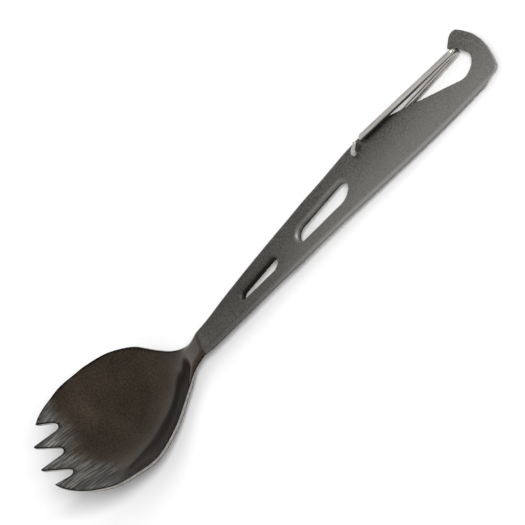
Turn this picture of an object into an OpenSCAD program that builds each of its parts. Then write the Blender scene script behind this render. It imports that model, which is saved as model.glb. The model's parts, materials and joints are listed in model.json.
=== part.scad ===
// Camping spork pressed from one metal sheet, with a sprung wire gate across its hook.
// It lies as on a table: +X points to the hook, +Y to the gate's side, +Z up.
// The shape is drawn in the handle's own frame, with the handle's top face at height 0 and
// the neck at x = 0, and is then tipped a little, so that bowl and hook both touch the table.

/* [Sheet] */
// Thickness of the sheet
sheet_t = 0.9; // [0.7:0.05:1.1]
// Outer radius of the rolled-down edge
lip_r = 1.2; // [1.1:0.05:1.6]

/* [Bowl] */
// Length from the neck to the tips of the middle tines
bowl_l = 48.3; // [43:0.1:54]
// Widest width of the bowl
bowl_w = 40; // [36:0.5:44]
// Depth of the bowl's middle line under the handle's face
bowl_depth = 5.3; // [4:0.1:7]
// Height of the middle line above the handle's face, where the tines end
tip_rise = 11.8; // [9:0.1:13]
// Rise of the bowl's side wall from its middle line to its widest width
wall_rise = 7.3; // [5:0.1:9]

/* [Tines] */
// Distance from the middle of the bowl to the tip of a middle tine
inner_tip_y = 3.9; // [3.6:0.05:4.4]
// Distance from the middle of the bowl to the tip of an outer tine
outer_tip_y = 10.3; // [10:0.05:10.8]
// How far the outer tines stop short of the middle ones
outer_tip_back = 1.9; // [1.5:0.1:2.5]
// Depth of the middle gap, from the middle tines' tips
middle_gap_depth = 5.2; // [4.5:0.1:6.5]
// Depth of an outer gap, from the middle tines' tips
outer_gap_depth = 5.9; // [5:0.1:7]
// Distance from the middle of the bowl to the middle of an outer gap
outer_gap_y = 7.9; // [7.7:0.05:8.2]
// Radius of a gap's round bottom
gap_r = 1.5; // [1.2:0.05:1.7]
// Radius of a middle tine's tip
tip_r = 0.45; // [0.3:0.05:0.6]

/* [Handle] */
// Length from the neck to the end of the hook
handle_l = 111.7; // [105:0.1:120]
// Width at the neck
neck_w = 7.8; // [7:0.1:9]
// Distance from the middle of the handle to its right edge, at the hook
right_w = 11.8; // [11.4:0.1:12.4]
// Distance from the middle of the handle to its left edge, at the gate's holes
left_w = 8.4; // [8.2:0.1:8.9]

/* [Slots] */
// Distance from the neck to the narrow end's centre of the small slot
small_slot_x = 18.1; // [17:0.1:19]
// Distance between the centres of the small slot's two ends
small_slot_l = 10.5; // [9:0.1:11]
// Radius of the small slot's narrow end
small_slot_r = 1.15; // [1:0.05:1.3]
// Radius of the small slot's wide end
small_slot_end_r = 1.85; // [1.6:0.05:2]
// Distance from the neck to the narrow end's centre of the big slot
big_slot_x = 41; // [40:0.1:42]
// Distance between the centres of the big slot's two ends
big_slot_l = 13.7; // [12:0.1:14.5]
// Radius of the big slot's narrow end
big_slot_r = 2.4; // [2.1:0.05:2.6]
// Radius of the big slot's wide end
big_slot_end_r = 3.1; // [2.8:0.05:3.3]
// How far the slots' rolled edges reach below the handle's face
slot_lip_h = 1.8; // [1.4:0.1:2.2]
// Width of the slots' rolled edges
slot_lip_w = 0.8; // [0.6:0.05:0.9]

/* [Hook] */
// Radius of the eye's round end
eye_r = 3.7; // [3.4:0.1:3.9]
// Distance from the hook's end to the centre of the eye's round end
eye_back = 9.8; // [9.6:0.1:10.4]
// Distance from the middle of the handle to that centre, to the right
eye_side = 1.4; // [1.2:0.1:1.7]
// Radius of the hook's nose
nose_r = 2.05; // [1.9:0.05:2.2]
// Distance from the middle of the handle to the nose's centre
nose_y = 8; // [7.8:0.1:8.2]
// Radius of the nose's inner corner
nose_corner_r = 0.8; // [0.6:0.1:0.9]
// Radius of the pocket behind the nose, where the gate rests
pocket_r = 1; // [0.8:0.1:1.1]
// Radius of the hook's outer sweep
sweep_r = 24.7; // [24:0.1:26]
// Radius of the hook's outer corner, on the right
corner_r = 2.1; // [1.8:0.1:2.4]
// How far the centre of that corner lies inside the right edge
corner_in = 3.34; // [3:0.02:3.6]
// Radius with which the handle's left edge turns into the eye
arm_r = 6.5; // [6:0.1:7.2]

/* [Gate] */
// Diameter of the gate's wire
wire_d = 1.7; // [1.5:0.05:1.75]
// Distance from the neck to the gate's pivot hole
pivot_x = 67.2; // [66.5:0.1:68]
// Distance from the middle of the handle to the pivot hole
pivot_y = 6.65; // [6.5:0.05:6.8]
// How far the second hole lies behind the pivot hole
second_back = 3.6; // [3.4:0.1:4]
// How far the second hole lies nearer to the middle of the handle
second_in = 1.9; // [1.7:0.1:2.1]
// Length of the wire's end that is clinched over on the handle's face
clinch_l = 2.7; // [2.2:0.1:2.9]
// Direction of that end, in degrees from the handle's length
clinch_turn = 51; // [45:1:60]
// Radial clearance of the wire in its pivot hole
pivot_fit = 0.05; // [0.02:0.01:0.1]
// Gap between the wire's legs and the sheet
leg_gap = 0.08; // [0.05:0.01:0.15]
// Gap between the closed gate and the nose
rest_gap = 0.1; // [0.05:0.01:0.2]
// How much further out the lower leg lies than the upper one, at the bend
bend_lean = 1.7; // [1.4:0.1:1.9]
// How far the gate opens, in degrees
gate_swing = 11; // [6:0.5:11.5]

/* [Hidden] */

// How far a cut reaches past what it cuts
overrun = 0.5;
// Number of straight pieces in a quarter of an outline's arc
arc_steps = 6;
// Number of bands across the bowl's or handle's middle, and across a rolled edge
middle_bands = 12;
lip_bands = 5;
// Smallest bend of a rolled edge, in degrees, where it has faded into the flat sheet
least_bend = 0.5;

// Share of the bowl's length, and share of the growth from the neck's to the bowl's half width
width_shares = [[0, 0], [0.06, 0.005], [0.1, 0.03], [0.15, 0.108], [0.22, 0.265], [0.28, 0.44],
    [0.33, 0.6], [0.39, 0.79], [0.45, 0.91], [0.515, 0.98], [0.58, 1], [0.635, 1], [0.69, 0.982],
    [0.8, 0.865], [0.875, 0.71], [0.92, 0.58], [0.96, 0.424], [1.04, 0.1]];
// Share of the bowl's length, and share of its depth that the middle line has gone down
dip_shares = [[0, 0], [0.1, 0.24], [0.2, 0.58], [0.32, 0.89], [0.45, 1], [1.04, 1]];
// Share of the bowl's length, and share of the climb from the bowl's bottom to the tips
climb_shares = [[0, 0], [0.45, 0], [0.58, 0.068], [0.69, 0.266], [0.8, 0.54], [0.88, 0.745],
    [1, 1], [1.04, 1.08]];
// Share of the bowl's length, and share of the side wall's rise
wall_shares = [[0, 0], [0.06, 0.1], [0.15, 0.75], [0.22, 1.1], [0.33, 1.02], [0.45, 0.92],
    [0.58, 1], [0.69, 0.82], [0.8, 0.62], [0.88, 0.42], [1.04, 0.33]];
// Share of the handle's length, and share of the growth from the neck to the right edge
right_shares = [[0, 0], [0.03, 0.085], [0.13, 0.168], [0.286, 0.319], [0.491, 0.534],
    [0.8, 0.924], [1, 1]];
// Share of the handle's length up to the gate's holes, and share of the growth to the left edge
left_shares = [[0, 0], [0.075, 0.062], [0.165, 0.271], [0.3, 0.502], [0.435, 0.687],
    [0.57, 0.838], [0.66, 0.96], [0.75, 1.025], [0.85, 1.012], [1, 1]];
// Shares of the bowl's length at which the sheet's sections lie, from the tines to the neck
bowl_station_shares = [for (k = [0:26]) 1.03 - k * 1.03 / 26];
// Shares of the length from the neck to the gate's holes at which sections lie
handle_station_shares = [0.02, 0.05, 0.1, 0.17, 0.25, 0.34, 0.42, 0.5, 0.6, 0.72, 0.82, 0.845,
    0.87, 0.895, 0.92, 0.945, 0.993];
// Shares of the length from the gate's holes to the hook's end at which sections lie
hook_station_shares = [0.007, 0.05, 0.1, 0.3, 0.5, 0.7, 0.85, 1];
// Shares of the bowl's and handle's lengths between which the rolled edges begin
lip_start_shares = [0.2, 0.02];
// Shares of the length up to the gate's holes between which the left edge's roll ends
lip_end_shares = [0.6, 0.94];

// Height of the wire's upper and lower leg
upper_z = leg_gap + wire_d / 2;
lower_z = -sheet_t - leg_gap - wire_d / 2;
// Places of the wire's two holes
pivot = [pivot_x, pivot_y];
second = [pivot_x - second_back, pivot_y - second_in];

// A circle that turns inside a larger one needs this much more than touching it
inner_slack = 0.1;
// Places of the hook's circles
eye = [handle_l - eye_back, -eye_side];
corner = [handle_l - corner_r, corner_in - right_w];
sweep = [handle_l - sweep_r - inner_slack, corner[1]];
nose = [sweep[0] + sqrt(pow(sweep_r - nose_r + inner_slack, 2) - pow(nose_y - sweep[1], 2)), nose_y];
nose_corner = [nose[0] - nose_r, nose_y - nose_r / 2];
pocket = [nose_corner[0] + nose_corner_r / 2, nose_corner[1] - nose_corner_r - 1.27 * pocket_r];
// Small step that keeps the cut outline clear of the bent sheet's own edge
hand_step = 0.02;
arm = [pivot_x + arm_r / 3, left_w - hand_step - arm_r];
// Where the left edge is handed over from the bent sheet to the cut outline
hand_over = [pivot_x - overrun, left_w - hand_step];

// Value at place s of a smooth curve through the pairs of a table
function slope_at(table, k) = let (n = len(table) - 1, a = max(k - 1, 0), b = min(k + 1, n))
    (table[b][1] - table[a][1]) / (table[b][0] - table[a][0]);
function seat(table, s, k = 0) =
    k >= len(table) - 2 || s <= table[k + 1][0] ? k : seat(table, s, k + 1);
function smooth(table, s) = let (
    k = seat(table, s),
    h = table[k + 1][0] - table[k][0],
    w = (s - table[k][0]) / h,
    m0 = slope_at(table, k) * h,
    m1 = slope_at(table, k + 1) * h
) (2 * pow(w, 3) - 3 * w * w + 1) * table[k][1] + (pow(w, 3) - 2 * w * w + w) * m0
    + (3 * w * w - 2 * pow(w, 3)) * table[k + 1][1] + (pow(w, 3) - w * w) * m1;
// A smooth step from 0 to 1, as s goes from a to b
function step(a, b, s) = let (w = min(max((s - a) / (b - a), 0), 1)) w * w * (3 - 2 * w);

// Height of the sheet's middle line, and its curvature across, at place x
function middle_z(x) = x >= 0 ? 0 : let (u = -x / bowl_l)
    (bowl_depth + tip_rise) * smooth(climb_shares, u) - bowl_depth * smooth(dip_shares, u);
function wall_curve(x) = x >= 0 ? 0 :
    wall_rise * smooth(wall_shares, -x / bowl_l) / pow(bowl_w / 2, 2);
// Width of the sheet from the middle to its right (side -1) or left (side 1) edge
function half_w(x, side) =
    x < 0 ? neck_w / 2 + (bowl_w - neck_w) / 2 * smooth(width_shares, -x / bowl_l)
    : side < 0 ? neck_w / 2 + (right_w - neck_w / 2) * smooth(right_shares, x / handle_l)
    : x < hand_over[0] ? neck_w / 2
        + (left_w - neck_w / 2) * smooth(left_shares, x / hand_over[0])
    : left_w + min(max(x - hand_over[0] - overrun, 0) / 2, nose_y + nose_r + overrun - left_w);
// How far the edge is rolled down, in degrees
function lip_bend(x, side) = max(least_bend, 90 * step(-lip_start_shares[0] * bowl_l,
    lip_start_shares[1] * handle_l, x) * (side < 0 ? 1
    : 1 - step(lip_end_shares[0] * hand_over[0], lip_end_shares[1] * hand_over[0], x)));

// Point on the sheet's top, at place x and share q across: the rolled edges are from 1 to 2
// on the left and from -1 to -2 on the right
function top_point(x, q) = let (
    side = q < 0 ? -1 : 1,
    bend = lip_bend(x, side),
    r = lip_r * 90 / bend,
    flat_w = half_w(x, side) - r * sin(bend),
    roll = bend * max(abs(q) - 1, 0),
    y = flat_w * min(abs(q), 1) + r * sin(roll)
) [x, side * y, middle_z(x) + wall_curve(x) * y * y - r * (1 - cos(roll))];

stations = concat([for (s = bowl_station_shares) -s * bowl_l],
    [for (s = handle_station_shares) s * hand_over[0]],
    [for (s = hook_station_shares) hand_over[0] + s * (handle_l - hand_over[0])]);
across = concat([for (k = [0:lip_bands - 1]) -2 + k / lip_bands],
    [for (k = [0:middle_bands]) -1 + 2 * k / middle_bands],
    [for (k = [1:lip_bands]) 1 + k / lip_bands]);
last_x = len(stations) - 1;
last_q = len(across) - 1;

top_points = [for (x = stations) [for (q = across) top_point(x, q)]];
// The sheet's underside lies one thickness below its top, square to the surface
function unit(v) = v / norm(v);
function under_point(i, j) = let (
    along = top_points[min(i + 1, last_x)][j] - top_points[max(i - 1, 0)][j],
    over = top_points[i][min(j + 1, last_q)] - top_points[i][max(j - 1, 0)]
) top_points[i][j] - sheet_t * unit(cross(along, over));
under_points = [for (i = [0:last_x]) [for (j = [0:last_q]) under_point(i, j)]];

// The bent sheet, before its tines, slots and hook are cut
module bent_sheet() {
    ring = 2 * (last_q + 1);
    rings = [for (i = [0:last_x])
        concat(top_points[i], [for (j = [0:last_q]) under_points[i][last_q - j]])];
    points = [for (r = rings) each r];
    walls = [for (i = [0:last_x - 1]) for (j = [0:ring - 1]) let (
        a = i * ring + j, b = i * ring + (j + 1) % ring, c = b + ring, d = a + ring
    ) each [[a, b, c], [a, c, d]]];
    caps = [for (j = [0:last_q - 1]) let (a = j, b = j + 1, c = ring - 2 - j, d = ring - 1 - j,
        e = last_x * ring) each [[a, c, b], [a, d, c], [e + a, e + b, e + c], [e + a, e + c, e + d]]];
    polyhedron(points = points, faces = concat(walls, caps), convexity = 10);
}

// An outline that runs round signed circles [x, y, r] joined by their tangents: r is positive
// where the outline turns left, negative where it turns right and 0 at a sharp corner
function heading(a, b) = let (d = [b[0] - a[0], b[1] - a[1]])
    atan2(d[1], d[0]) - asin((b[2] - a[2]) / norm(d));
function turn(r, a) = r > 0 ? (a % 360 + 360) % 360 : (a % 360 - 360) % 360;
function outline(circles) = [for (k = [0:len(circles) - 1]) let (
    n = len(circles), c = circles[k],
    from = heading(circles[(k + n - 1) % n], c),
    sweep = c[2] == 0 ? 0 : turn(c[2], heading(c, circles[(k + 1) % n]) - from),
    steps = c[2] == 0 ? 0 : max(2, ceil(abs(sweep) / 90 * arc_steps))
) for (i = [0:steps]) let (a = from + (steps == 0 ? 0 : sweep * i / steps))
    [c[0] + c[2] * sin(a), c[1] - c[2] * cos(a)]];

// The four tines and their three gaps, from the left edge to the right
middle_gap_x = middle_gap_depth - bowl_l - gap_r;
outer_gap_x = outer_gap_depth - bowl_l - gap_r;
outer_tip_x = outer_tip_back - bowl_l;
tine_circles = [
    [outer_tip_x, outer_tip_y, 0],
    [outer_gap_x, outer_gap_y, -gap_r],
    [tip_r - bowl_l, inner_tip_y, tip_r],
    [middle_gap_x, 0, -gap_r],
    [tip_r - bowl_l, -inner_tip_y, tip_r],
    [outer_gap_x, -outer_gap_y, -gap_r],
    [outer_tip_x, -outer_tip_y, 0]
];
// The hook, from the handle's right edge round the nose and the eye to the left edge
hook_circles = [
    [corner[0] - bowl_w, corner[1] - bowl_w, 0],
    [corner[0], corner[1], corner_r],
    [sweep[0], sweep[1], sweep_r],
    [nose[0], nose[1], nose_r],
    [nose_corner[0], nose_corner[1], nose_corner_r],
    [pocket[0], pocket[1], -pocket_r],
    [eye[0], eye[1], -eye_r],
    [arm[0], arm[1], arm_r],
    [hand_over[0], hand_over[1], 0],
    [hand_over[0] - arm_r, bowl_w, 0]
];
// What is kept of the sheet: it passes well outside the edges that are bent and not cut
keep_circles = concat([[outer_tip_x, -bowl_w, 0]], hook_circles, [[outer_tip_x, bowl_w, 0]],
    tine_circles);

function slot_circles(x, l, r, end_r, wall) = [[x, 0, r + wall], [x + l, 0, end_r + wall]];
small_slot = [small_slot_x, small_slot_l, small_slot_r, small_slot_end_r];
big_slot = [big_slot_x, big_slot_l, big_slot_r, big_slot_end_r];

module slot_outline(slot, wall) {
    polygon(outline(slot_circles(slot[0], slot[1], slot[2], slot[3], wall)));
}

// The arc-shaped second hole, along which the wire's other end travels as the gate swings: its
// middle is a hair narrower than its two round ends, so that their edges cross cleanly
module second_hole() {
    arm_v = second - pivot;
    reach = norm(arm_v);
    hole_r = wire_d / 2 + pivot_fit;
    half_band = hole_r - hand_step;
    translate([pivot[0], pivot[1], -sheet_t - overrun]) {
        rotate(atan2(arm_v[1], arm_v[0]) - gate_swing)
            rotate_extrude(angle = gate_swing, $fn = 180)
                translate([reach - half_band, 0]) square([2 * half_band, sheet_t + 2 * overrun]);
        for (a = [-gate_swing, 0])
            rotate(atan2(arm_v[1], arm_v[0]) + a) translate([reach, 0])
                cylinder(r = hole_r, h = sheet_t + 2 * overrun, $fn = 48);
    }
}

module pressed_body() {
    difference() {
        union() {
            intersection() {
                bent_sheet();
                translate([0, 0, -bowl_w]) linear_extrude(2 * bowl_w) polygon(outline(keep_circles));
            }
            for (slot = [small_slot, big_slot])
                translate([0, 0, -slot_lip_h]) linear_extrude(slot_lip_h - sheet_t / 2)
                    slot_outline(slot, slot_lip_w);
        }
        for (slot = [small_slot, big_slot])
            translate([0, 0, -slot_lip_h - overrun]) linear_extrude(slot_lip_h + 2 * overrun)
                slot_outline(slot, 0);
        translate([pivot[0], pivot[1], -sheet_t - overrun])
            cylinder(d = wire_d + 2 * pivot_fit, h = sheet_t + 2 * overrun, $fn = 48);
        second_hole();
    }
}

// The gate's bend rests in the pocket behind the nose, on the eye's straight edge
edge_turn = heading(hook_circles[5], hook_circles[6]);
edge_start = pocket - pocket_r * [sin(edge_turn), -cos(edge_turn)];
edge_end = eye - eye_r * [sin(edge_turn), -cos(edge_turn)];
// Share of that edge, from the pocket, at which the gate rests
rest_share = 0.1;
rest_point = edge_start + rest_share * (edge_end - edge_start);
bend_end = rest_point + (wire_d / 2 + rest_gap) * [sin(edge_turn), -cos(edge_turn)];
upper_end = [bend_end[0], bend_end[1] - bend_lean / 2, upper_z];
lower_end = [bend_end[0], bend_end[1] + bend_lean / 2, lower_z];
// The bend's corners are not quite square, so its radius stays under half of its height
bend_r = norm(upper_end - lower_end) / 2 - leg_gap;

// A path whose corners are rounded: corners holds a point and the radius of its bend
function round_corner(p, q, s, r, steps) = let (
    a = unit(q - p), b = unit(s - q), turn_a = acos(a * b), inward = unit(b - (a * b) * a),
    start = q - r * tan(turn_a / 2) * a
) [for (k = [0:steps]) start + r * inward
    + r * (sin(turn_a * k / steps) * a - cos(turn_a * k / steps) * inward)];
function rounded(points, radii, steps) = let (n = len(points) - 1) concat([points[0]],
    [for (k = [1:n - 1]) each round_corner(points[k - 1], points[k], points[k + 1], radii[k - 1],
        steps)], [points[n]]);

// A round wire along a path: each ring of points is turned as little as possible from the last
module wire_along(path, d, sides) {
    n = len(path) - 1;
    ahead = [for (i = [0:n]) unit(path[min(i + 1, n)] - path[max(i - 1, 0)])];
    first = unit(cross(ahead[0], [0, 0, 1]));
    aside = [for (i = 0, v = first; i <= n; i = i + 1,
        v = i > n ? v : unit(v - (v * ahead[i]) * ahead[i])) v];
    points = [for (i = [0:n]) for (k = [0:sides - 1]) path[i]
        + d / 2 * (cos(360 * k / sides) * aside[i] + sin(360 * k / sides) * cross(ahead[i], aside[i]))];
    walls = [for (i = [0:n - 1]) for (k = [0:sides - 1]) let (
        a = i * sides + k, b = i * sides + (k + 1) % sides
    ) each [[a, a + sides, b + sides], [a, b + sides, b]]];
    polyhedron(points = points, faces = concat(walls, [[for (k = [0:sides - 1]) k]],
        [[for (k = [0:sides - 1]) (n + 1) * sides - 1 - k]]), convexity = 10);
}

// Radius of the wire's tight bends at its two holes
elbow_r = wire_d / 2 + leg_gap / 2;
// Small step by which the wire's pivot end is thicker than the rest
pin_step = 0.01;
wire_sides = 14;
bend_steps = 6;
function raised(p, z) = [p[0], p[1], z];

module bent_wire() {
    clinch = second + clinch_l * [cos(clinch_turn), sin(clinch_turn)];
    wire_along(rounded([raised(clinch, upper_z), raised(second, upper_z), raised(second, lower_z),
        lower_end, upper_end, raised(pivot, upper_z),
        raised(pivot, -sheet_t / 2)], [elbow_r, elbow_r, bend_r, bend_r, elbow_r], bend_steps),
        wire_d - 2 * pin_step, wire_sides);
    translate(raised(pivot, -sheet_t - wire_d / 4))
        cylinder(d = wire_d, h = sheet_t + wire_d / 4, $fn = 48);
}

// The lying place: tipped until the bowl's bottom and the gate's lower leg are level
bowl_floor = [for (i = [0:last_x]) for (j = [0:last_q]) under_points[i][j]];
lowest_z = min([for (p = bowl_floor) p[2]]);
lowest_x = [for (p = bowl_floor) if (p[2] == lowest_z) p[0]][0];
foot = [bend_end[0], lower_z - wire_d / 2];
tip_angle = atan2(foot[1] - lowest_z, foot[0] - lowest_x);
function tipped(x, z) = [x * cos(tip_angle) + z * sin(tip_angle),
    z * cos(tip_angle) - x * sin(tip_angle)];
lift = -min([for (p = bowl_floor) tipped(p[0], p[2])[1]]);
front_x = tipped(-bowl_l, middle_z(-bowl_l) + wall_curve(-bowl_l) * pow(inner_tip_y, 2))[0];
back_x = tipped(handle_l, 0)[0];
module lying() {
    translate([-(front_x + back_x) / 2, 0, lift]) rotate([0, tip_angle, 0]) children();
}

module spork_body() color("#71706c") lying() pressed_body();
module wire_gate() color("#c9c8c4") lying() bent_wire();

spork_body();
wire_gate();
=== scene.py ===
# %% [markdown]
# # A metal camping spork with a wire gate
#
# The real object is two pieces: one sheet of titanium, cut to an outline and pressed into a
# spoon with four tines and a hooked handle, and one bent steel wire that closes the hook.
# Each cell below makes or finishes one thing, in the order in which a maker would.
#
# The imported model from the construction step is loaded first. It is the fixed frame: it says
# where everything is, and the pieces made here have to lie in the same place.

# %% Load the frame
import json
import math

import bpy
import numpy as np
from mathutils import Matrix, Vector


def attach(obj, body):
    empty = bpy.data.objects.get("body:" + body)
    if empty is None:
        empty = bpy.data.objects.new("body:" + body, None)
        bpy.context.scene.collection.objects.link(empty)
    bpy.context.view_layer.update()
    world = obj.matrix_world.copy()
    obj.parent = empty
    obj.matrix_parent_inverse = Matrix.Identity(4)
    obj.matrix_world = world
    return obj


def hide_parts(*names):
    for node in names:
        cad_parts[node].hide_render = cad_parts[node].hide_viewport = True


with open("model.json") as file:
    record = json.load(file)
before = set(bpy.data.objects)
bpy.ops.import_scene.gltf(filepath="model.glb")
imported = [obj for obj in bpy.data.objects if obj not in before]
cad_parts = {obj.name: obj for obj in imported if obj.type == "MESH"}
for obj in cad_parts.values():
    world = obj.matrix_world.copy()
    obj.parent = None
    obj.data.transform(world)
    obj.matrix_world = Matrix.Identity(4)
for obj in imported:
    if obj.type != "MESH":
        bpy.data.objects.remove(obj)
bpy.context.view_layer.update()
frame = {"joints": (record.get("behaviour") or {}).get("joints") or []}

# %% [markdown]
# ## The handle's own frame
#
# The spork lies tipped by a degree or two, but it is drawn as it was pressed: the handle's top
# face is at height 0, the neck is at x = 0 and +x points to the hook. The gate's hinge stands
# square to that face, so its axis and its place say how the drawing is tipped and where it lies.
# Sizes are written in millimetres, as on a workshop drawing, and one matrix turns them into the
# metres of the scene.

# %% Handle frame
MM = 0.001
PIVOT = (67.2, 6.65)
SHEET = 0.9

hinge = frame["joints"][0]
up = Vector(hinge["axis"]).normalized()
across = Vector((0, 1, 0))
along = across.cross(up)
to_row = Matrix((along, across, up)).transposed()
origin = Vector(hinge["pos_m"]) - MM * (to_row @ Vector((*PIVOT, -SHEET / 2)))
drawing = Matrix.Translation(origin) @ to_row.to_4x4() @ Matrix.Scale(MM, 4)
print("the handle is tipped by", round(math.degrees(math.asin(up.x)), 2), "degrees")

# %% [markdown]
# ## How the sheet is pressed
#
# A press turns a flat blank into a spoon in one stroke, so the shape can be written as a rule:
# for each place on the flat blank, where does it end up? The rule has three parts.
#
# * The bowl is a height over the plan: a middle line that dips and then climbs to the tines, and
#   side walls that rise with the square of the distance from it.
# * The handle's edges roll down through a quarter circle.
# * The rims of the two slots roll down in the same way, a little tighter.
#
# The curves are drawn through a few pairs of shares, as a draughtsman lays a spline through pins.

# %% Curves through pins
BOWL_L, BOWL_W, NECK_W = 48.3, 40, 7.8
BOWL_DEPTH, TIP_RISE, WALL_RISE = 5.3, 11.8, 7.3
HANDLE_L, RIGHT_W, LEFT_W = 111.7, 11.8, 8.4
ROLL_R = 1.2
ROLL_L = ROLL_R * math.pi / 2
HAND_OVER_X = PIVOT[0] - 0.5

WIDTH = [(0, 0), (0.06, 0.005), (0.1, 0.03), (0.15, 0.108), (0.22, 0.265), (0.28, 0.44),
         (0.33, 0.6), (0.39, 0.79), (0.45, 0.91), (0.515, 0.98), (0.58, 1), (0.635, 1),
         (0.69, 0.982), (0.8, 0.865), (0.875, 0.71), (0.92, 0.58), (0.96, 0.424), (1.04, 0.1)]
DIP = [(0, 0), (0.1, 0.24), (0.2, 0.58), (0.32, 0.89), (0.45, 1), (1.04, 1)]
CLIMB = [(0, 0), (0.45, 0), (0.58, 0.068), (0.69, 0.266), (0.8, 0.54), (0.88, 0.745), (1, 1),
         (1.04, 1.08)]
WALL = [(0, 0), (0.06, 0.1), (0.15, 0.75), (0.22, 1.1), (0.33, 1.02), (0.45, 0.92), (0.58, 1),
        (0.69, 0.82), (0.8, 0.62), (0.88, 0.42), (1.04, 0.33)]
RIGHT = [(0, 0), (0.03, 0.085), (0.13, 0.168), (0.286, 0.319), (0.491, 0.534), (0.8, 0.924), (1, 1)]
LEFT = [(0, 0), (0.075, 0.062), (0.165, 0.271), (0.3, 0.502), (0.435, 0.687), (0.57, 0.838),
        (0.66, 0.96), (0.75, 1.025), (0.85, 1.012), (1, 1)]


def spline(pins, s):
    """Heights at s of a smooth curve through the pins."""
    x, y = np.array(pins, float).T
    before, after = np.maximum(np.arange(len(x)) - 1, 0), np.minimum(np.arange(len(x)) + 1, len(x) - 1)
    slope = (y[after] - y[before]) / (x[after] - x[before])
    k = np.clip(np.searchsorted(x, s) - 1, 0, len(x) - 2)
    h = x[k + 1] - x[k]
    w = (s - x[k]) / h
    return ((2 * w**3 - 3 * w**2 + 1) * y[k] + (w**3 - 2 * w**2 + w) * slope[k] * h
            + (3 * w**2 - 2 * w**3) * y[k + 1] + (w**3 - w**2) * slope[k + 1] * h)


def ease(a, b, s):
    """A smooth step from 0 to 1, as s goes from a to b."""
    w = np.clip((s - a) / (b - a), 0, 1)
    return w * w * (3 - 2 * w)


def half_width(x, left):
    """Width of the pressed sheet from its middle to its left or right edge."""
    bowl = NECK_W / 2 + (BOWL_W - NECK_W) / 2 * spline(WIDTH, np.maximum(-x, 0) / BOWL_L)
    right = NECK_W / 2 + (RIGHT_W - NECK_W / 2) * spline(RIGHT, np.maximum(x, 0) / HANDLE_L)
    leftw = NECK_W / 2 + (LEFT_W - NECK_W / 2) * spline(LEFT, np.clip(x / HAND_OVER_X, 0, 1))
    return np.where(x < 0, bowl, np.where(left, leftw, right))


def roll_bend(x, left):
    """How far the edge is rolled down, in radians."""
    bend = 90 * ease(-0.2 * BOWL_L, 0.02 * HANDLE_L, x)
    fade = 1 - ease(0.6 * HAND_OVER_X, 0.94 * HAND_OVER_X, x)
    return np.radians(np.maximum(0.5, bend * np.where(left, fade, 1)))


def flat_width(x, left):
    """Width of the flat part, and the radius of the roll that follows it."""
    bend = roll_bend(x, left)
    r = ROLL_L / bend
    return half_width(x, left) - r * np.sin(bend), r


print("half widths along the handle:", half_width(np.arange(0.0, 60, 15), True).round(2).tolist(), "mm")

# %% [markdown]
# The slots are long drops: two round ends of different radius joined by straight sides. What the
# press needs is each point's distance from that outline and the direction of the nearest edge.

# %% Slots and the pressing rule
SLOTS = [(18.1, 10.5, 1.15, 1.85), (41, 13.7, 2.4, 3.1)]
RIM_R = 1.0
RIM_WALL = 0.8
RIM_FLAT = 0.5
RIM_OVERRUN = 1.2
PROBE = 0.02
STEEPEST = 0.3
UPRIGHT_X, SQUARE_X = -42, -32


def from_slot(x, y, slot):
    """Signed distance from a slot's edge, and the direction away from the slot."""
    x0, length, r0, r1 = slot
    sin_a = (r1 - r0) / length
    cos_a = math.sqrt(1 - sin_a**2)
    side = np.where(y < 0, -1, 1)
    px, py = x - x0, np.abs(y)
    run = px * cos_a + py * sin_a
    ends = [(px, py, r0), (px - length, py, r1)]
    (d0, u0, w0), (d1, u1, w1) = [
        (np.hypot(a, b) - r, a / np.maximum(np.hypot(a, b), 1e-9), b / np.maximum(np.hypot(a, b), 1e-9))
        for a, b, r in ends]
    side_d = -px * sin_a + py * cos_a - r0
    first, last = run < 0, run > length * cos_a
    d = np.where(first, d0, np.where(last, d1, side_d))
    ux = np.where(first, u0, np.where(last, u1, -sin_a))
    uy = np.where(first, w0, np.where(last, w1, cos_a)) * side
    return d, ux, uy


def press_top(x, y):
    """Where a point of the blank's top face ends up."""
    left = y > 0
    flat, r = flat_width(x, left)
    roll = np.maximum(np.abs(y) - flat, 0) / r
    yy = np.minimum(np.abs(y), flat) + r * np.sin(roll)
    u = np.maximum(-x, 0) / BOWL_L
    middle = (BOWL_DEPTH + TIP_RISE) * spline(CLIMB, u) - BOWL_DEPTH * spline(DIP, u)
    wall = WALL_RISE * spline(WALL, u) / (BOWL_W / 2) ** 2
    z = np.where(x < 0, middle + wall * yy**2, 0) - r * (1 - np.cos(roll))
    px, py = x.copy(), np.where(left, yy, -yy)
    for slot in SLOTS:
        d, ux, uy = from_slot(x, y, slot)
        run = np.clip((RIM_R - d) / (RIM_R + RIM_FLAT), 0, RIM_OVERRUN)
        run = run * (RIM_R * math.pi / 2 + RIM_WALL)
        turn = np.minimum(run / RIM_R, math.pi / 2)
        drop = RIM_R * (1 - np.cos(turn)) + np.maximum(run - RIM_R * math.pi / 2, 0)
        inward = np.where(run > 0, RIM_R - RIM_R * np.sin(turn) - d, 0)
        px, py, z = px + inward * ux, py + inward * uy, z - drop
    return np.stack([px, py, z], axis=-1)


def press(points):
    """Where points of the blank end up, with the sheet's thickness kept square to its face.

    At the tines the underside lies straight below the top, so that their cut edges stand upright.
    """
    x, y, z = np.array(points, float).T
    dx = press_top(x + PROBE, y) - press_top(x - PROBE, y)
    dy = press_top(x, y + PROBE) - press_top(x, y - PROBE)
    normal = np.cross(dx, dy)
    normal /= np.linalg.norm(normal, axis=1)[:, None]
    upright = np.zeros_like(normal)
    upright[:, 2] = 1 / np.maximum(normal[:, 2], STEEPEST)
    square = ease(UPRIGHT_X, SQUARE_X, x)[:, None]
    return press_top(x, y) + z[:, None] * (square * normal + (1 - square) * upright)


print("bottom of the bowl:", press([(-21.0, 0, 0)]).round(2).tolist(), "mm")

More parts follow.
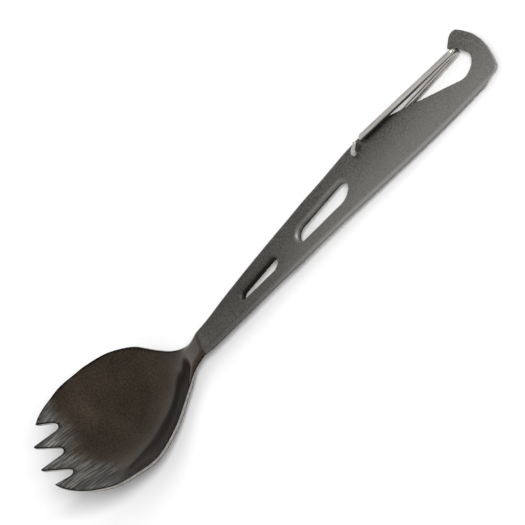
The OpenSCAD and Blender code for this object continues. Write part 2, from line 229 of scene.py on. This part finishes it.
# %% [markdown]
# ## The blank's outline
#
# The blank is cut by a die whose edge is made of arcs joined by straight lines. An outline is a
# list of circles that the edge runs round: a positive radius where it turns left, a negative one
# where it turns right, and 0 for a point that it only passes. The edges of bowl and handle are
# points of the width curves; tines, gaps, hook and nose are circles.

# %% Outline
def heading(a, b):
    """Direction of the line that leaves circle a and touches circle b."""
    dx, dy = b[0] - a[0], b[1] - a[1]
    return math.atan2(dy, dx) - math.asin((b[2] - a[2]) / math.hypot(dx, dy))


def outline(circles, arc_steps=8):
    """Points of an edge that runs round the circles."""
    points = []
    for k, c in enumerate(circles):
        start = heading(circles[k - 1], c)
        if c[2] == 0:
            points.append((c[0], c[1]))
            continue
        sweep = (heading(c, circles[(k + 1) % len(circles)]) - start) % (2 * math.pi)
        if c[2] < 0:
            sweep -= 2 * math.pi
        steps = max(3, math.ceil(abs(sweep) / (math.pi / 2) * arc_steps))
        points += [(c[0] + c[2] * math.sin(start + sweep * i / steps),
                    c[1] - c[2] * math.cos(start + sweep * i / steps)) for i in range(steps + 1)]
    return points


def edge_points(x_values, left):
    """Points of the flat blank's left or right edge."""
    x = np.array(x_values, float)
    flat, r = flat_width(x, left)
    y = (flat + ROLL_L) * (1 if left else -1)
    return [(float(a), float(b), 0) for a, b in zip(x, y)]


TIP_R, TIP_Y, OUTER_TIP_X, OUTER_TIP_Y = 0.45, 3.9, 1.9 - BOWL_L, 10.3
GAP_R, MIDDLE_GAP, OUTER_GAP, OUTER_GAP_Y = 1.5, 5.2, 5.9, 7.9
middle_x, outer_x = MIDDLE_GAP - BOWL_L - GAP_R, OUTER_GAP - BOWL_L - GAP_R
tines = [(OUTER_TIP_X, OUTER_TIP_Y, 0), (outer_x, OUTER_GAP_Y, -GAP_R), (TIP_R - BOWL_L, TIP_Y, TIP_R),
         (middle_x, 0, -GAP_R), (TIP_R - BOWL_L, -TIP_Y, TIP_R), (outer_x, -OUTER_GAP_Y, -GAP_R),
         (OUTER_TIP_X, -OUTER_TIP_Y, 0)]

CORNER_R, SWEEP_R, NOSE_R, NOSE_Y, LIP_R, POCKET_R, EYE_R, ARM_R = 2.1, 24.7, 2.05, 8, 0.8, 1, 3.7, 6.5
CORNER_Y, EYE_BACK, EYE_Y = -8.46, 9.8, -1.4
POCKET_DROP = 1.27
SLACK = 0.1
sweep = (HANDLE_L - SWEEP_R - SLACK, CORNER_Y, SWEEP_R)
nose_x = sweep[0] + math.sqrt((SWEEP_R - NOSE_R + SLACK) ** 2 - (NOSE_Y - CORNER_Y) ** 2)
lip = (nose_x - NOSE_R, NOSE_Y - NOSE_R / 2, LIP_R)
pocket = (lip[0] + LIP_R / 2, lip[1] - LIP_R - POCKET_DROP * POCKET_R, -POCKET_R)
eye = (HANDLE_L - EYE_BACK, EYE_Y, -EYE_R)
hook = [(HANDLE_L - CORNER_R, CORNER_Y - (ROLL_L - ROLL_R), CORNER_R), sweep, (nose_x, NOSE_Y, NOSE_R),
        lip, pocket, eye, (PIVOT[0] + ARM_R / 3, LEFT_W - ARM_R, ARM_R)]
BOWL_POINTS, RIGHT_POINTS, LEFT_POINTS = 58, 70, 44
EDGE_START, RIGHT_END = 1, 106
bowl_x = np.linspace(OUTER_TIP_X + EDGE_START, 0, BOWL_POINTS)
right_x = np.concatenate([bowl_x, np.linspace(EDGE_START, RIGHT_END, RIGHT_POINTS)])
left_x = np.concatenate([np.linspace(HAND_OVER_X, EDGE_START, LEFT_POINTS),
                         np.linspace(0, OUTER_TIP_X + EDGE_START, BOWL_POINTS)])
blank_edge = outline(tines + edge_points(right_x, False) + hook + edge_points(left_x, True))
print("the blank's edge has", len(blank_edge), "points")

# %% [markdown]
# ## Cutting the blank
#
# A circle primitive is a ring of points with one face, so it is a ready-made blank: its points
# are set on the outline, and the face is extruded to the sheet's thickness. The slots are cut
# from it with a Boolean modifier, and a small Bevel breaks the sharp edges all round, as the
# tumbling drum does to the real part. It is much easier to do all this while the sheet is flat.

# %% Flat blank
BREAK = 0.16
SHARP_FROM, SMOOTH_BELOW = math.radians(60), math.radians(40)


def only(obj):
    """Makes obj the only selected and active object."""
    bpy.ops.object.select_all(action="DESELECT")
    obj.select_set(True)
    bpy.context.view_layer.objects.active = obj


def apply_modifier(obj, kind, **settings):
    """Adds a modifier, sets it and applies it."""
    only(obj)
    modifier = obj.modifiers.new(kind.title(), kind)
    for name, value in settings.items():
        setattr(modifier, name, value)
    bpy.ops.object.modifier_apply(modifier=modifier.name)


def prism(name, edge, top, bottom):
    """A flat-faced solid with this edge, between two heights."""
    bpy.ops.object.select_all(action="DESELECT")
    bpy.ops.mesh.primitive_circle_add(vertices=len(edge), radius=1, fill_type="NGON")
    solid = bpy.context.object
    solid.name = name
    for vertex, (x, y) in zip(solid.data.vertices, edge):
        vertex.co = (x, y, top)
    bpy.ops.object.mode_set(mode="EDIT")
    bpy.ops.mesh.select_all(action="SELECT")
    bpy.ops.mesh.extrude_region_move(TRANSFORM_OT_translate={"value": (0, 0, bottom - top)})
    bpy.ops.mesh.select_all(action="SELECT")
    bpy.ops.mesh.normals_make_consistent(inside=False)
    bpy.ops.object.mode_set(mode="OBJECT")
    return solid


sheet = prism("spork_sheet", blank_edge, 0, -SHEET)
for number, (x, length, r, end_r) in enumerate(SLOTS):
    ends = [(x, 0, r - RIM_FLAT), (x + length, 0, end_r - RIM_FLAT)]
    cutter = prism(f"slot_cutter_{number}", outline(ends), SHEET, -2 * SHEET)
    apply_modifier(sheet, "BOOLEAN", operation="DIFFERENCE", object=cutter, solver="EXACT")
    bpy.data.objects.remove(cutter)
apply_modifier(sheet, "BEVEL", width=BREAK, segments=2, limit_method="ANGLE", angle_limit=SHARP_FROM)
print("the flat blank has", len(sheet.data.polygons), "faces")

# %% [markdown]
# ## Pressing it
#
# A flat face with no points inside it can't bend. So the blank is first scored with the Bisect
# operator, along lines that lie closer together where the sheet bends more: across the rolled
# edges and round the slots. Then the press moves every point to its place.

# %% Score and press
SHEET_MERGE = 0.004


def lines(*stretches):
    """Places of the score lines, from (start, end, spacing) stretches."""
    return [a + k * (b - a) / n for a, b, gap in stretches
            for n in [round((b - a) / gap)] for k in range(n)]


x_lines = lines((-48, -12, 0.8), (-12, 0, 0.6), (0, 16, 0.8), (16, 31, 0.4), (31, 37, 0.8),
                (37, 59, 0.4), (59, 112, 1.2))
y_lines = lines((-22, -13, 0.8), (-13, 13, 0.4), (13, 22.4, 0.8))
only(sheet)
bpy.ops.object.mode_set(mode="EDIT")
for axis, places in ((0, x_lines), (1, y_lines)):
    for place in places:
        point, normal = [0, 0, 0], [0, 0, 0]
        point[axis], normal[axis] = place, 1
        bpy.ops.mesh.select_all(action="SELECT")
        bpy.ops.mesh.bisect(plane_co=point, plane_no=normal)
bpy.ops.mesh.select_all(action="SELECT")
bpy.ops.mesh.remove_doubles(threshold=SHEET_MERGE)
bpy.ops.object.mode_set(mode="OBJECT")
flat_places = np.array([v.co for v in sheet.data.vertices])
pressed = press(flat_places)
for vertex, place in zip(sheet.data.vertices, pressed):
    vertex.co = place
print("the pressed sheet has", len(sheet.data.polygons), "faces")

# %% [markdown]
# ## What the finishes need to know
#
# Three finishes meet on the one sheet: blasted on the handle, polished in the bowl, and the bare
# sheared edge all round. Which face has which is decided while the flat places are still known.
# So are a few attributes of the mesh, which the materials read:
#
# * wear_and_painted_light: the rolled edge on the right and the big slot's rim, drawn lighter than the
#   flat face, and, more faintly, the face towards that edge. It is partly rubbed wear and partly
#   painted light.
# * painted_shade: where the sheet turns away downward, drawn darker as painted shade.
# * brushed: where the polishing wheel's marks show.
# * painted_rim_shade: the thin dark line along the bowl's edge, a painted shade.
#
# All four lie fixed on the metal. Apart from the painted light and shade named here, the metal
# mirrors the sky, the floor and the lamps.

# %% Faces and attributes of the sheet
POLISH_X = 0.8
FAR = 99.0
BRUSH_START = [(-22, -30), (-12, -33), (-6, -38.5), (-2, -40.5), (4, -40.5), (9, -41), (22, -43)]
flat_x, flat_y, _ = flat_places.T
flat_w, _ = flat_width(flat_x, flat_y > 0)
edge_roll = (np.clip((np.abs(flat_y) - flat_w) / ROLL_L, 0, 1)
             * roll_bend(flat_x, flat_y > 0) / (math.pi / 2))
right_roll, left_roll = np.where(flat_y < 0, edge_roll, 0), np.where(flat_y > 0, edge_roll, 0)
small_rim, big_rim = (np.clip((RIM_R - from_slot(flat_x, flat_y, slot)[0]) / (RIM_R + RIM_FLAT), 0, 1)
                      for slot in SLOTS)


def from_edge(x, y):
    """Distance of points from the blank's edge."""
    ends = np.array(blank_edge)
    nearest = np.full(len(x), FAR)
    for (ax, ay), (bx, by) in zip(ends, np.roll(ends, -1, axis=0)):
        dx, dy = bx - ax, by - ay
        share = np.clip(((x - ax) * dx + (y - ay) * dy) / (dx * dx + dy * dy), 0, 1)
        nearest = np.minimum(nearest, np.hypot(x - ax - share * dx, y - ay - share * dy))
    return nearest


edge_gap = from_edge(flat_x, flat_y)
marks = {
    # Lighter rolled edge and the face towards it: partly rubbed wear, partly painted light.
    "wear_and_painted_light": (np.maximum(ease(0.1, 0.75, right_roll), ease(0.05, 0.5, big_rim)) * 0.65
             + ease(7, -11, flat_y) * 0.35) * (0.3 + 0.7 * ease(5, 60, flat_x)),
    # Painted shade where the sheet turns away downward: left roll, slot walls, end of the right roll.
    "painted_shade": np.max([0.6 * ease(0.6, 1, right_roll), ease(0.15, 0.7, left_roll),
                      ease(0.25, 0.6, small_rim), ease(0.7, 0.9, big_rim)], axis=0),
    "brushed": ease(2, -4, flat_x - spline(BRUSH_START, flat_y)),
    # Painted shade: the thin dark line along the bowl's edge.
    "painted_rim_shade": ease(0.34, 0.2, edge_gap),
}
for name, values in marks.items():
    attribute = sheet.data.attributes.new(name, "FLOAT", "POINT")
    attribute.data.foreach_set("value", values.astype(np.float32))
BLASTED, POLISHED, SHEARED = range(3)
for face in sheet.data.polygons:
    centre = flat_places[list(face.vertices)].mean(axis=0)
    sheared = -SHEET + BREAK < centre[2] < -BREAK
    face.material_index = SHEARED if sheared else POLISHED if centre[0] < POLISH_X else BLASTED

sheet.data.transform(drawing)
only(sheet)
bpy.ops.object.shade_smooth_by_angle(angle=SMOOTH_BELOW)
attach(sheet, "spork")
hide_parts("spork_body")
print("the sheet has", len(sheet.data.vertices), "points")

# %% [markdown]
# ## The wire gate
#
# The gate is one length of spring wire. From the pivot hole it runs over the sheet to the nose,
# turns round the edge in a U, runs back under the sheet and comes up through a second hole, where
# its end is hammered over. First comes its middle line. The corners of the line only need
# rounding, which the helper below does as a wire bender would, each at its own radius.

# %% The wire's middle line
WIRE_D = 1.7
LEG_GAP = 0.08
REST_GAP = 0.1
LEAN = 1.7
SECOND_BACK, SECOND_IN = 3.6, 1.9
CLINCH_L, CLINCH_TURN = 2.7, math.radians(51)
ALONG_EDGE = 0.1
over_z = LEG_GAP + WIRE_D / 2
under_z = -SHEET - over_z
hole = Vector((PIVOT[0], PIVOT[1], 0))
second = hole - Vector((SECOND_BACK, SECOND_IN, 0))
clinch = second + CLINCH_L * Vector((math.cos(CLINCH_TURN), math.sin(CLINCH_TURN), 0))
turn = heading(pocket, eye)
off_edge = Vector((math.sin(turn), -math.cos(turn), 0))
edge_start = Vector((*pocket[:2], 0)) + pocket[2] * off_edge
edge_end = Vector((*eye[:2], 0)) + eye[2] * off_edge
bend = edge_start.lerp(edge_end, ALONG_EDGE) + (WIRE_D / 2 + REST_GAP) * off_edge
upper = bend + Vector((0, -LEAN / 2, over_z))
lower = bend + Vector((0, LEAN / 2, under_z))
bend_r = (upper - lower).length / 2 - LEG_GAP
elbow_r = WIRE_D / 2 + LEG_GAP / 2


def at_height(point, z):
    """The point, moved to a height."""
    return Vector((point.x, point.y, z))


def round_corners(points, radii, steps=10):
    """The path through the points, with each inner corner rounded at its radius."""
    path = [points[0]]
    for before, corner, after, r in zip(points, points[1:], points[2:], radii):
        a, b = (corner - before).normalized(), (after - corner).normalized()
        angle = a.angle(b)
        inward = (b - a * a.dot(b)).normalized()
        start = corner - a * r * math.tan(angle / 2)
        path += [start + inward * r * (1 - math.cos(angle * k / steps))
                 + a * r * math.sin(angle * k / steps) for k in range(steps + 1)]
    return path + [points[-1]]


wire_path = round_corners(
    [at_height(clinch, over_z), at_height(second, over_z), at_height(second, under_z), lower, upper,
     at_height(hole, over_z), at_height(hole, -SHEET - WIRE_D / 4)],
    [elbow_r, elbow_r, bend_r, bend_r, elbow_r])
print("the wire's middle line has", len(wire_path), "points")

# %% [markdown]
# ### Sweeping the wire
#
# A poly curve with a round bevel is a wire already. Its hammered end is drawn a little thinner, so
# the curve's first points get a smaller radius, which grows back to nearly the full one. Then the
# curve is made a mesh, and a Bevel breaks the sharp edges of the cut ends.

# %% Wire gate
CLINCH_POINTS, CLINCH_SHARE, CLINCH_GROWTH = 8, 0.75, 0.03
WIRE_MERGE, WIRE_BREAK = 0.001, 0.2
bpy.ops.object.select_all(action="DESELECT")
bpy.ops.curve.primitive_bezier_curve_add()
wire = bpy.context.object
wire.name = "gate_wire"
wire.data.splines.clear()
spline_in = wire.data.splines.new("POLY")
spline_in.points.add(len(wire_path) - 1)
for point, place in zip(spline_in.points, wire_path):
    point.co = (*place, 1)
for k, point in enumerate(spline_in.points[:CLINCH_POINTS]):
    point.radius = CLINCH_SHARE + CLINCH_GROWTH * k
wire.data.bevel_depth = WIRE_D / 2
wire.data.bevel_resolution = 6
wire.data.use_fill_caps = True
wire.location = (0, 0, 0)
bpy.ops.object.convert(target="MESH")
wire = bpy.context.object
bpy.ops.object.mode_set(mode="EDIT")
bpy.ops.mesh.select_all(action="SELECT")
bpy.ops.mesh.remove_doubles(threshold=WIRE_MERGE)
bpy.ops.mesh.normals_make_consistent(inside=False)
bpy.ops.object.mode_set(mode="OBJECT")
apply_modifier(wire, "BEVEL", width=WIRE_BREAK, segments=3, limit_method="ANGLE",
               angle_limit=SHARP_FROM)
wire.data.transform(drawing)
only(wire)
bpy.ops.object.shade_smooth_by_angle(angle=SMOOTH_BELOW)
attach(wire, "gate")
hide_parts("wire_gate")
print("the wire has", len(wire.data.polygons), "faces")

# %% [markdown]
# ## Materials
#
# Each finish is a small network of nodes. One function adds any node: it takes the node's type,
# what goes into its sockets, which may be a value or another node's output, the stops of a colour
# ramp, and the node's settings. It gives back one output, the first if no other is named.
# Colours are written as the hex values that a picture would show, and are turned to linear light.

# %% Node helpers
def linear(hex_colour):
    """An sRGB hex colour as linear RGBA."""
    parts = [int(hex_colour[k:k + 2], 16) / 255 for k in (1, 3, 5)]
    return [c / 12.92 if c <= 0.04045 else ((c + 0.055) / 1.055) ** 2.4 for c in parts] + [1.0]


def add(tree, kind, inputs=None, out=0, stops=(), **settings):
    """Adds a node, sets it, links or sets its inputs, and gives back one of its outputs."""
    made = tree.nodes.new(kind)
    for name, value in settings.items():
        setattr(made, name, value)
    for name, value in (inputs or {}).items():
        if isinstance(value, bpy.types.NodeSocket):
            tree.links.new(value, made.inputs[name])
        else:
            made.inputs[name].default_value = value
    for k, (position, colour) in enumerate(stops):
        marks = made.color_ramp.elements
        mark = marks[k] if k < len(marks) else marks.new(position)
        mark.position, mark.color = position, linear(colour)
    return made.outputs[out] if made.outputs else None


def new_material(name):
    """An empty material and its node tree."""
    material = bpy.data.materials.new(name)
    material.use_nodes = True
    material.node_tree.nodes.clear()
    return material, material.node_tree


def stretch(tree, size, turn=0):
    """Object coordinates, turned by degrees and divided by a size in millimetres on each axis."""
    place = add(tree, "ShaderNodeTexCoord", out="Object")
    if turn:
        place = add(tree, "ShaderNodeVectorRotate", {"Vector": place, "Angle": math.radians(-turn)},
                    rotation_type="Z_AXIS")
    return add(tree, "ShaderNodeMapping", {"Vector": place, "Scale": [1 / (v * MM) for v in size]})


def row_x(plan_x):
    """Where a place along the handle lies in the scene."""
    return (drawing @ Vector((plan_x, 0, 0))).x


print("the neck is at x =", round(row_x(0), 4), "m")

# %% [markdown]
# ### Bead-blasted titanium
#
# Titanium is a warm grey metal. Blasting it with glass beads leaves tiny dents, which scatter the
# light: the handle looks matt and finely grained, like cast paper. Real dents are far finer than
# a picture of the whole spork shows, so they are drawn about half a millimetre across. No blasted
# face is quite even, so faint clouds about 10 mm across lie over them. On the right rolled edge and
# the big slot's rim the metal is drawn lighter and its grain fainter: partly wear where hands and
# cloth rub it most, partly painted light. Where the sheet turns away downward it is drawn darker,
# which is painted shade. It also gets lighter towards the hook, which is painted light too. Each of
# these is a colour laid over the last.

# %% Bead-blasted titanium
BEAD = 0.45
CLOUD = (12, 8, 8)
BEAD_DEPTH = 0.05
WEAR_AND_LIGHT_SHARE = 0.75
blasted, tree = new_material("bead_blasted_titanium")
grain = add(tree, "ShaderNodeTexNoise", {
    "Vector": stretch(tree, [BEAD] * 3), "Scale": 1.0, "Detail": 3.0, "Roughness": 0.65})
cloud = add(tree, "ShaderNodeTexNoise", {
    "Vector": stretch(tree, CLOUD), "Scale": 1.0, "Detail": 2.0})
# The lighter colours near the hook are painted light: the handle is drawn lighter towards the hook than
# at the neck.
near_neck, near_hook, in_cloud = (
    add(tree, "ShaderNodeValToRGB", {"Fac": grain}, stops=[(0.38, dark), (0.62, light)])
    for dark, light in (("#2F2D2A", "#4A4845"), ("#4C4A47", "#6E6C68"), ("#413F3C", "#62605C")))

place = add(tree, "ShaderNodeTexCoord", out="Object")
place_x = add(tree, "ShaderNodeSeparateXYZ", {"Vector": place}, out="X")
to_hook, cloud_share = (
    add(tree, "ShaderNodeMapRange", {"Value": value, "From Min": low, "From Max": high},
        interpolation_type="SMOOTHSTEP")
    for value, low, high in ((place_x, row_x(0), row_x(HANDLE_L)), (cloud, 0.3, 0.9)))
wear_and_painted_light, painted_shade = (add(tree, "ShaderNodeAttribute", out="Fac", attribute_name=name)
                for name in ("wear_and_painted_light", "painted_shade"))
wear_and_painted_light = add(tree, "ShaderNodeMath", {0: wear_and_painted_light, 1: WEAR_AND_LIGHT_SHARE}, operation="MULTIPLY")
# Laid over in turn: painted light towards the hook, random clouds, the lighter rolled edge (part wear,
# part painted light) and painted shade where the sheet turns down.
colour = near_neck
for share, over in ((to_hook, near_hook), (cloud_share, in_cloud), (wear_and_painted_light, linear("#A9A7A3")),
                    (painted_shade, linear("#2B2926"))):
    colour = add(tree, "ShaderNodeMix", {0: share, 6: colour, 7: over}, out=2, data_type="RGBA")
roughness = add(tree, "ShaderNodeMapRange", {"Value": grain, "To Min": 0.46, "To Max": 0.62})
dents = add(tree, "ShaderNodeBump", {"Height": grain, "Strength": 0.35, "Distance": BEAD_DEPTH * MM})
metal = add(tree, "ShaderNodeBsdfPrincipled", {
    "Base Color": colour, "Metallic": 1.0, "Roughness": roughness, "Normal": dents})
add(tree, "ShaderNodeOutputMaterial", {"Surface": metal})
print(blasted.name, "has", len(tree.nodes), "nodes")

# %% [markdown]
# ### Polished titanium
#
# The bowl is polished, so that food doesn't cling to it. Its dark brown is a painted reflection: the
# colour stands for the dark surroundings that the polished metal mirrors. At the tines and their
# roots the wheel can't follow the curve, so its lines stay rough and grey there. They run at an angle
# to the spork's length. Real ones are far finer than a picture shows, so they are drawn about 0.3 mm
# apart. Elsewhere the brown has only faint clouds, and a thin dark line at the rim, which is painted
# shade. Its other bright and dark places are what a smooth surface mirrors.

# %% Polished titanium
BRUSH, BRUSH_TURN = (5, 0.28, 5), 34
TINT = 14
BRUSH_DEPTH = 0.02
polished, tree = new_material("polished_titanium")
brush = add(tree, "ShaderNodeTexNoise", {
    "Vector": stretch(tree, BRUSH, turn=BRUSH_TURN), "Scale": 1.0, "Detail": 3.0, "Roughness": 0.6})
grain, tint = (
    add(tree, "ShaderNodeTexNoise", {"Vector": stretch(tree, [size] * 3), "Scale": 1.0, "Detail": 2.0})
    for size in (BEAD, TINT))
# The dark browns are a painted reflection of dark surroundings, not the metal's own colour.
dark_brown, brown = (
    add(tree, "ShaderNodeValToRGB", {"Fac": grain}, stops=[(0.35, dark), (0.65, light)])
    for dark, light in (("#29231E", "#383028"), ("#342D26", "#453C32")))
brush_grey = add(tree, "ShaderNodeValToRGB", {"Fac": brush},
                 stops=[(0.3, "#201F1D"), (0.5, "#42413E"), (0.72, "#8D8D8B")])

tint_share = add(tree, "ShaderNodeMapRange", {"Value": tint, "From Min": 0.3, "From Max": 0.7},
                 interpolation_type="SMOOTHSTEP")
brushed, painted_rim_shade = (add(tree, "ShaderNodeAttribute", out="Fac", attribute_name=name)
                     for name in ("brushed", "painted_rim_shade"))
# The last colour laid over is painted shade: a thin dark line along the rim.
colour = dark_brown
for share, over in ((tint_share, brown), (brushed, brush_grey), (painted_rim_shade, linear("#12100E"))):
    colour = add(tree, "ShaderNodeMix", {0: share, 6: colour, 7: over}, out=2, data_type="RGBA")
roughness = add(tree, "ShaderNodeMapRange", {"Value": brushed, "To Min": 0.14, "To Max": 0.4})
scores = add(tree, "ShaderNodeBump", {"Height": brush, "Strength": 0.1, "Distance": BRUSH_DEPTH * MM})
metal = add(tree, "ShaderNodeBsdfPrincipled", {
    "Base Color": colour, "Metallic": 1.0, "Roughness": roughness, "Normal": scores})
add(tree, "ShaderNodeOutputMaterial", {"Surface": metal})
print(polished.name, "has", len(tree.nodes), "nodes")

# %% [markdown]
# ### Sheared edge and drawn wire
#
# A die cuts the sheet cleanly, so its edge is bright bare metal with fine lines across the
# thickness. Spring wire is drawn through a round die, which leaves it smooth and bright with
# scratches that run along it. Both are drawn about a third of a millimetre apart, as coarse as
# they need to be to show.

# %% Sheared edge and drawn wire
SHEAR = (0.3, 0.3, 2)
SCRATCH = (12, 0.35, 0.35)
SCRATCH_DEPTH = 0.01
edge_metal, tree = new_material("sheared_titanium_edge")
shear = add(tree, "ShaderNodeTexNoise", {
    "Vector": stretch(tree, SHEAR), "Scale": 1.0, "Detail": 2.0})
colour = add(tree, "ShaderNodeValToRGB", {"Fac": shear}, stops=[(0.3, "#7C7973"), (0.7, "#A8A59E")])
metal = add(tree, "ShaderNodeBsdfPrincipled", {
    "Base Color": colour, "Metallic": 1.0, "Roughness": 0.34})
add(tree, "ShaderNodeOutputMaterial", {"Surface": metal})

leg_turn = math.degrees(math.atan2(upper.y - hole.y, upper.x - hole.x))
steel, tree = new_material("drawn_stainless_wire")
scratch = add(tree, "ShaderNodeTexNoise", {
    "Vector": stretch(tree, SCRATCH, turn=leg_turn), "Scale": 1.0, "Detail": 3.0})
colour = add(tree, "ShaderNodeValToRGB", {"Fac": scratch}, stops=[(0.35, "#96938E"), (0.65, "#BEBBB6")])
roughness = add(tree, "ShaderNodeMapRange", {"Value": scratch, "To Min": 0.1, "To Max": 0.22})
scores = add(tree, "ShaderNodeBump", {
    "Height": scratch, "Strength": 0.05, "Distance": SCRATCH_DEPTH * MM})
metal = add(tree, "ShaderNodeBsdfPrincipled", {
    "Base Color": colour, "Metallic": 1.0, "Roughness": roughness, "Normal": scores})
add(tree, "ShaderNodeOutputMaterial", {"Surface": metal})

for material in (blasted, polished, edge_metal):
    sheet.data.materials.append(material)
wire.data.materials.clear()
wire.data.materials.append(steel)
print("materials:", [m.name for m in (blasted, polished, edge_metal, steel)])

# %% [markdown]
# ## The floor
#
# A spork for a catalogue lies on a seamless sheet of paper. One large plane is enough for it. Its
# pale colour makes the background white, so that the lamps can stay at a plain level. The only
# pattern is the faint cloudiness of paper held to the light, about 20 mm across.

# %% Floor
FLOOR = 6
PULP = 20
bpy.ops.object.select_all(action="DESELECT")
bpy.ops.mesh.primitive_plane_add(size=FLOOR, location=(0, 0, 0))
floor = bpy.context.object
floor.name = "studio_floor"
paper, tree = new_material("seamless_paper")
pulp = add(tree, "ShaderNodeTexNoise", {
    "Vector": stretch(tree, [PULP] * 3), "Scale": 1.0, "Detail": 2.0})
colour = add(tree, "ShaderNodeValToRGB", {"Fac": pulp}, stops=[(0.3, "#F6F6F6"), (0.7, "#F9F9F9")])
sheen = add(tree, "ShaderNodeBsdfPrincipled", {
    "Base Color": colour, "Roughness": 0.9, "Specular IOR Level": 0.1})
add(tree, "ShaderNodeOutputMaterial", {"Surface": sheen})
floor.data.materials.append(paper)
print("the floor is", FLOOR, "m wide")

# %% [markdown]
# ## Sky and lamps
#
# The camera and the metal see an even white sky, which gives less light to everything else. Two
# soft lamps are added. A polished metal shows what is around it, so a lamp's place matters. Seen
# by the camera below, the kicker stands just past what the bowl mirrors, so the smooth basin
# doesn't show it, while the rougher brushed tines catch some of its glow. From straight above, the
# basin does show it, as a small bright spot. It lights gloss only. The key lamp is hidden from
# gloss, and metal gives back light by gloss alone, so it lights only the paper and makes the
# spork's soft shadow there.

# %% Sky and lamps
SKY_FILL = 0.5
scene = bpy.context.scene
scene.view_settings.view_transform = "Standard"
world = bpy.data.worlds.new("soft_sky")
scene.world = world
world.use_nodes = True
tree = world.node_tree
sky = tree.nodes["Background"]
sky.inputs["Color"].default_value = (1, 1, 1, 1)
ray = add(tree, "ShaderNodeLightPath").node.outputs
seen = ray["Is Camera Ray"]
for kind in ("Is Glossy Ray", "Is Transmission Ray"):
    seen = add(tree, "ShaderNodeMath", {0: seen, 1: ray[kind]}, operation="MAXIMUM")
strength = add(tree, "ShaderNodeMapRange", {"Value": seen, "To Min": SKY_FILL, "To Max": 1})
tree.links.new(strength, sky.inputs["Strength"])


def softbox(name, toward, distance, size, power, aim):
    """A square lamp that stands in a direction of the handle's frame, seen from aim."""
    direction = (to_row @ Vector(toward)).normalized()
    bpy.ops.object.light_add(type="AREA")
    lamp = bpy.context.object
    lamp.name = name
    lamp.data.shape, lamp.data.size, lamp.data.energy = "SQUARE", size, power
    lamp.location = aim + direction * distance
    lamp.rotation_euler = direction.to_track_quat("Z", "Y").to_euler()
    return lamp


tine_root = drawing @ Vector((-42, 6, 4))
kicker = softbox("kicker_softbox", toward=(0.79, 0.29, 0.54), distance=0.9, size=0.2, power=5,
                 aim=tine_root)
kicker.visible_diffuse = False
key = softbox("key_softbox", toward=(0.87, -0.97, 1), distance=3, size=0.95, power=100, aim=origin)
key.visible_glossy = False
print("lamps, in watts:", {lamp.name: lamp.data.energy for lamp in (kicker, key)})

# %% [markdown]
# ## The camera
#
# The camera stands far away with a long lens, so that the view is nearly parallel, as in a product
# picture. Its axes are given in the handle's frame and made square to each other. A lens much
# longer than this would put the object past the far clip of the views at other angles.

# %% Camera
PICTURE = 525
PIXELS_PER_MM = 4.194
LENS = 1600
SENSOR = 36
aim = drawing @ Vector((26.45, 2.775, 0))
back = Vector((0.447, -0.688, 0.571)).normalized()
right = Vector((0.611, -0.233, -0.758))
right = (right - back * right.dot(back)).normalized()
view_axes = Matrix((right, back.cross(right), back)).transposed()
frame_width = PICTURE / PIXELS_PER_MM * MM
bpy.ops.object.camera_add()
camera = bpy.context.object
camera.data.lens, camera.data.sensor_width = LENS, SENSOR
camera.matrix_world = (Matrix.Translation(aim + (to_row @ back) * frame_width * LENS / SENSOR)
                       @ (to_row @ view_axes).to_4x4())
scene.camera = camera
print("the camera stands", round(frame_width * LENS / SENSOR, 3), "m away")
